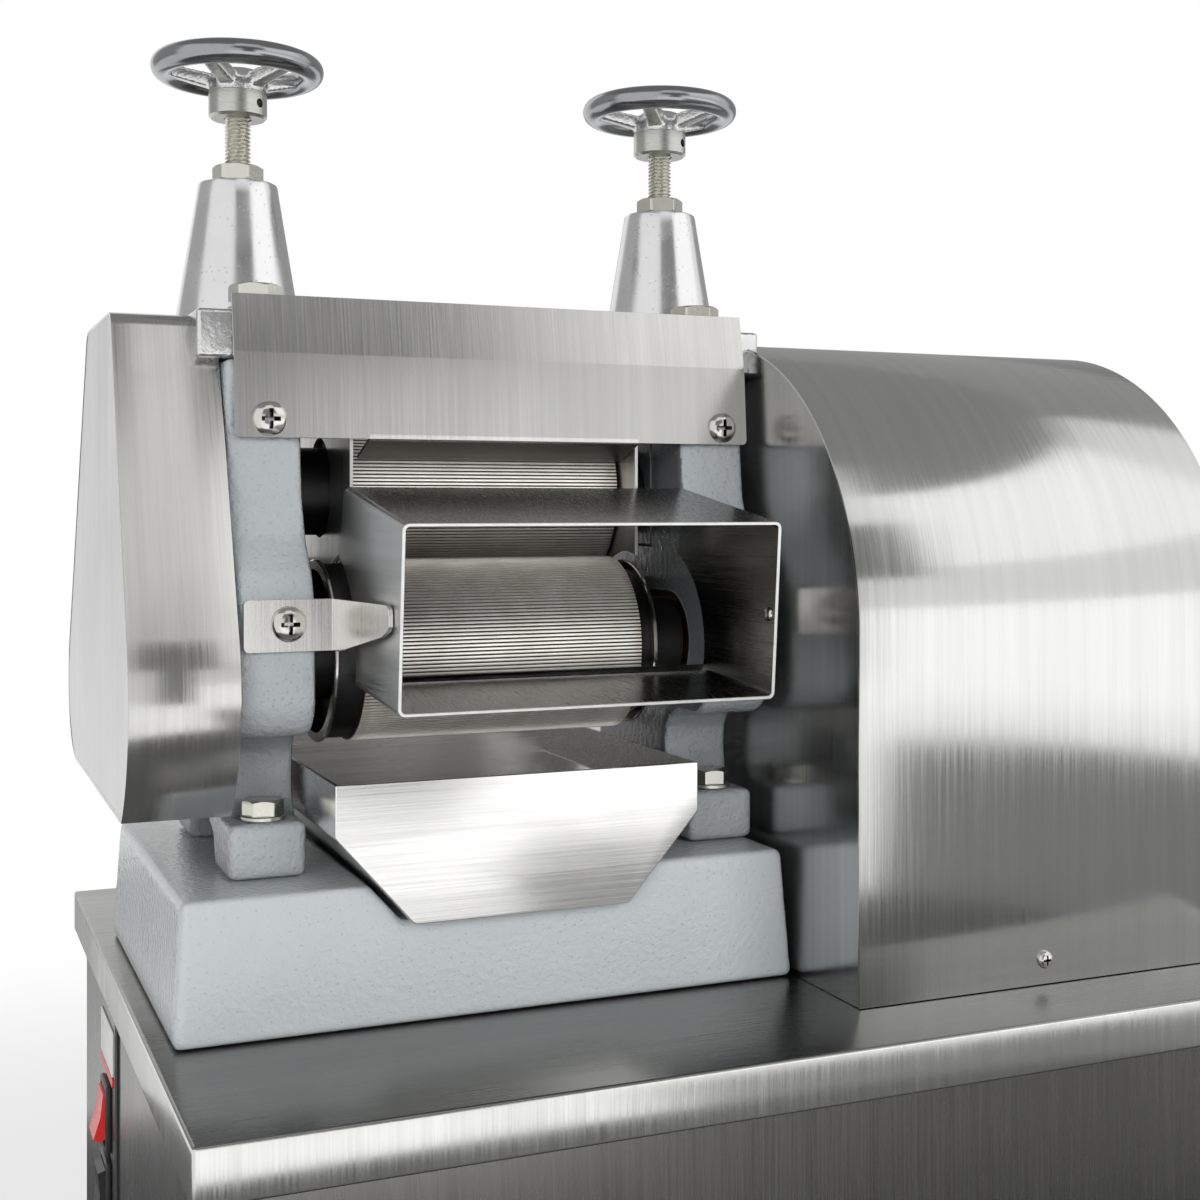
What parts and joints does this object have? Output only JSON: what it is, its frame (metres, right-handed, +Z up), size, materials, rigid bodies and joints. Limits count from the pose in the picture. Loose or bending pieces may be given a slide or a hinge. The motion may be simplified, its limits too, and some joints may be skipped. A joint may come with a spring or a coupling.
{
  "type": "three-roller cane press",
  "caption": "Electric three-roller cane press: cast frame with screw-adjusted rollers, feed chute, juice tray, gear and drive covers, on a stainless cabinet.",
  "frame": {"origin": "middle of the footprint, on the surface that the feet stand on", "axes": "+Z up, +X to the right along the rollers, -Y towards the feed chute and the juice tray"},
  "size_m": [0.447, 0.354, 0.6418],
  "materials": {
    "brushed_stainless": "satin brushed",
    "dark_stainless": "satin brushed, darker",
    "grey_cast_paint": "glossy paint over rough casting",
    "polished_chrome": "polished over casting",
    "machined_steel": "machined, oiled",
    "zinc_plating": "zinc plated",
    "bearing_bronze": "machined bronze",
    "black_cast_iron": "blackened",
    "black_rubber": "matte",
    "belt_rubber": "matte",
    "black_plastic": "moulded",
    "red_plastic": "glossy moulded"
  },
  "bodies": {
    "frame": {"cabinet_top": "brushed_stainless", "guard_plate": "brushed_stainless", "left_cheek": "brushed_stainless", "right_cheek": "brushed_stainless", "rear_scraper": "brushed_stainless", "feed_chute": "brushed_stainless", "left_chute_bracket": "brushed_stainless", "right_chute_bracket": "brushed_stainless", "gear_cover": "brushed_stainless", "drive_cover": "brushed_stainless", "cabinet_shell": "dark_stainless", "rear_panel": "dark_stainless", "foot_front_left": "black_rubber", "foot_front_right": "black_rubber", "foot_rear_left": "black_rubber", "foot_rear_right": "black_rubber", "cord_gland": "black_plastic", "power_switch_body": "black_plastic", "direction_switch_body": "black_plastic", "base_casting": "grey_cast_paint", "left_side_frame": "grey_cast_paint", "right_side_frame": "grey_cast_paint", "pinion_bracket": "grey_cast_paint", "gear_motor": "grey_cast_paint", "left_screw_tower": "polished_chrome", "right_screw_tower": "polished_chrome", "cane_turner": "machined_steel", "frame_bolt_front_left": "zinc_plating", "frame_bolt_front_right": "zinc_plating", "frame_bolt_rear_left": "zinc_plating", "frame_bolt_rear_right": "zinc_plating", "left_lock_nut": "zinc_plating", "right_lock_nut": "zinc_plating", "lower_bearing_left": "bearing_bronze", "lower_bearing_right": "bearing_bronze", "drive_belt": "belt_rubber"},
    "tray": {"juice_tray": "brushed_stainless"},
    "front_roller_set": {"front_roller": "machined_steel", "front_shaft": "machined_steel", "front_roller_gear": "machined_steel", "bull_gear": "machined_steel"},
    "rear_roller_set": {"rear_roller": "machined_steel", "rear_shaft": "machined_steel", "rear_roller_gear": "machined_steel"},
    "top_carriage": {"top_bearing_left": "bearing_bronze", "top_bearing_right": "bearing_bronze"},
    "top_roller_set": {"top_roller": "machined_steel", "top_shaft": "machined_steel", "top_roller_gear": "machined_steel"},
    "countershaft": {"pinion_shaft": "machined_steel", "driven_pulley": "black_cast_iron"},
    "motor_shaft": {"motor_pulley": "black_cast_iron"},
    "left_pad": {"left_pressure_pad": "machined_steel"},
    "right_pad": {"right_pressure_pad": "machined_steel"},
    "left_screw": {"left_spindle": "zinc_plating", "left_handwheel": "polished_chrome"},
    "right_screw": {"right_spindle": "zinc_plating", "right_handwheel": "polished_chrome"},
    "power_switch": {"power_rocker": "red_plastic"},
    "direction_switch": {"direction_rocker": "black_plastic"}
  },
  "joints": [
    {"name": "front_roller_spin", "type": "hinge", "parent": "frame", "child": "front_roller_set", "pos_m": [-0.0835, -0.047, 0.417], "axis": [1, 0, 0], "continuous": true},
    {"name": "rear_roller_spin", "type": "hinge", "parent": "frame", "child": "rear_roller_set", "pos_m": [-0.0835, 0.029, 0.417], "axis": [1, 0, 0], "continuous": true},
    {"name": "top_roller_lift", "type": "slide", "parent": "frame", "child": "top_carriage", "axis": [0, 0, 1], "range_m": [0, 0.0025]},
    {"name": "top_roller_spin", "type": "hinge", "parent": "top_carriage", "child": "top_roller_set", "pos_m": [-0.0835, -0.009, 0.47579], "axis": [1, 0, 0], "continuous": true},
    {"name": "countershaft_spin", "type": "hinge", "parent": "frame", "child": "countershaft", "pos_m": [0.0335, 0.01326, 0.34518], "axis": [1, 0, 0], "continuous": true},
    {"name": "motor_shaft_spin", "type": "hinge", "parent": "frame", "child": "motor_shaft", "pos_m": [0.0905, -0.009, 0.095], "axis": [1, 0, 0], "continuous": true},
    {"name": "left_screw_travel", "type": "slide", "parent": "frame", "child": "left_pad", "axis": [0, 0, 1], "range_m": [0, 0.006]},
    {"name": "left_handwheel_turn", "type": "hinge", "parent": "left_pad", "child": "left_screw", "pos_m": [-0.1725, -0.009, 0.6181], "axis": [0, 0, 1], "range_deg": [0, 1440]},
    {"name": "right_screw_travel", "type": "slide", "parent": "frame", "child": "right_pad", "axis": [0, 0, 1], "range_m": [0, 0.006]},
    {"name": "right_handwheel_turn", "type": "hinge", "parent": "right_pad", "child": "right_screw", "pos_m": [0.0055, -0.009, 0.6181], "axis": [0, 0, 1], "range_deg": [0, 1440]},
    {"name": "juice_tray_slide", "type": "slide", "parent": "frame", "child": "tray", "axis": [0, -1, 0], "range_m": [0, 0.15]},
    {"name": "power_rocker_tilt", "type": "hinge", "parent": "frame", "child": "power_switch", "pos_m": [-0.2105, 0.069, 0.217], "axis": [0, -1, 0], "range_deg": [0, 24]},
    {"name": "direction_rocker_tilt", "type": "hinge", "parent": "frame", "child": "direction_switch", "pos_m": [-0.2105, 0.069, 0.186], "axis": [0, -1, 0], "range_deg": [-12, 12]}
  ],
  "couplings": [
    {"joint": "rear_roller_spin", "follows": "front_roller_spin", "ratio": 1},
    {"joint": "top_roller_spin", "follows": "front_roller_spin", "ratio": -1},
    {"joint": "countershaft_spin", "follows": "front_roller_spin", "ratio": -4},
    {"joint": "motor_shaft_spin", "follows": "front_roller_spin", "ratio": -8.381},
    {"joint": "left_screw_travel", "follows": "left_handwheel_turn", "m_per_rad": 0.00023873},
    {"joint": "right_screw_travel", "follows": "right_handwheel_turn", "m_per_rad": 0.00023873}
  ]
}
